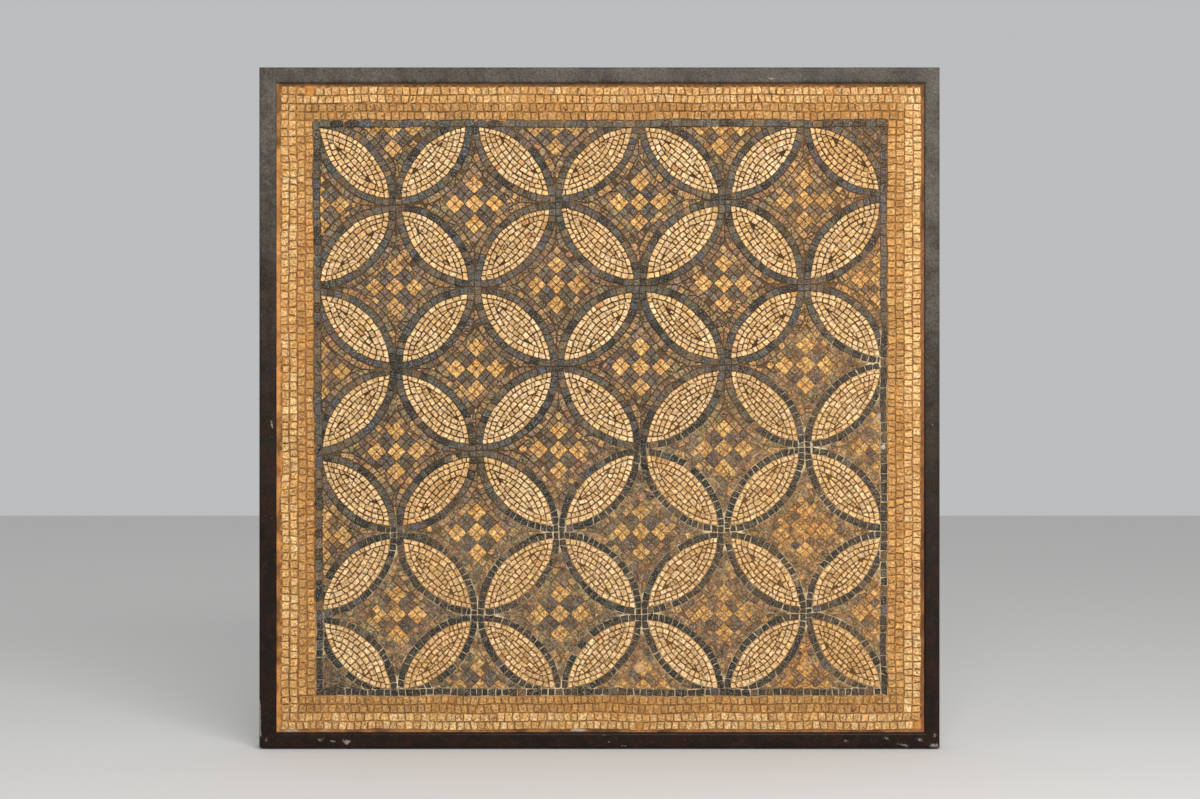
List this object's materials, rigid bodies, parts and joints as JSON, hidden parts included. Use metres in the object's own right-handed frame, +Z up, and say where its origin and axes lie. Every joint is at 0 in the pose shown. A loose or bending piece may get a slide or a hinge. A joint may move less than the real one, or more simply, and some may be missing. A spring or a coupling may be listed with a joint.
{
  "type": "mosaic panel",
  "caption": "Square framed wall panel of stone mosaic: intersecting circles form cream petals and dark curved diamonds with small crosses, inside a plain border.",
  "frame": {"origin": "centre of the panel's back, on the wall's plane", "axes": "+Z up the wall, +Y into the wall, +X to the right as seen from the front; the mosaic faces -Y"},
  "size_m": [0.9, 0.04, 0.9],
  "materials": {
    "frame_paint": "dark bronze-grey satin paint on steel, worn and scuffed at the edges",
    "mortar": "rough orange-brown lime mortar, darker and sandy in the joints",
    "cream_stone": "matt honed limestone, cream stained with ochre",
    "ochre_stone": "matt honed limestone, tan and ochre",
    "petal_stone": "matt honed limestone, pale cream",
    "dark_stone": "matt honed limestone, blue-black to dark green-grey",
    "ground_stone": "matt honed limestone, brown-grey and purple-grey, with yellow crosslets"
  },
  "bodies": {
    "root": {"frame_top": "frame_paint", "frame_right": "frame_paint", "frame_bottom": "frame_paint", "frame_left": "frame_paint", "mortar_bed": "mortar", "border_course_1": "cream_stone", "border_course_2": "cream_stone", "border_course_3": "ochre_stone", "border_course_4": "ochre_stone", "circle_outlines": "dark_stone", "diamond_ground": "ground_stone", "petal_r1_c1": "petal_stone", "petal_r1_c2": "petal_stone", "petal_r1_c3": "petal_stone", "petal_r1_c4": "petal_stone", "petal_r1_c5": "petal_stone", "petal_r1_c6": "petal_stone", "petal_r1_c7": "petal_stone", "petal_r2_c1": "petal_stone", "petal_r2_c2": "petal_stone", "petal_r2_c3": "petal_stone", "petal_r2_c4": "petal_stone", "petal_r2_c5": "petal_stone", "petal_r2_c6": "petal_stone", "petal_r2_c7": "petal_stone", "petal_r3_c1": "petal_stone", "petal_r3_c2": "petal_stone", "petal_r3_c3": "petal_stone", "petal_r3_c4": "petal_stone", "petal_r3_c5": "petal_stone", "petal_r3_c6": "petal_stone", "petal_r3_c7": "petal_stone", "petal_r4_c1": "petal_stone", "petal_r4_c2": "petal_stone", "petal_r4_c3": "petal_stone", "petal_r4_c4": "petal_stone", "petal_r4_c5": "petal_stone", "petal_r4_c6": "petal_stone", "petal_r4_c7": "petal_stone", "petal_r5_c1": "petal_stone", "petal_r5_c2": "petal_stone", "petal_r5_c3": "petal_stone", "petal_r5_c4": "petal_stone", "petal_r5_c5": "petal_stone", "petal_r5_c6": "petal_stone", "petal_r5_c7": "petal_stone", "petal_r6_c1": "petal_stone", "petal_r6_c2": "petal_stone", "petal_r6_c3": "petal_stone", "petal_r6_c4": "petal_stone", "petal_r6_c5": "petal_stone", "petal_r6_c6": "petal_stone", "petal_r6_c7": "petal_stone", "petal_r7_c1": "petal_stone", "petal_r7_c2": "petal_stone", "petal_r7_c3": "petal_stone", "petal_r7_c4": "petal_stone", "petal_r7_c5": "petal_stone", "petal_r7_c6": "petal_stone", "petal_r7_c7": "petal_stone"}
  },
  "joints": []
}
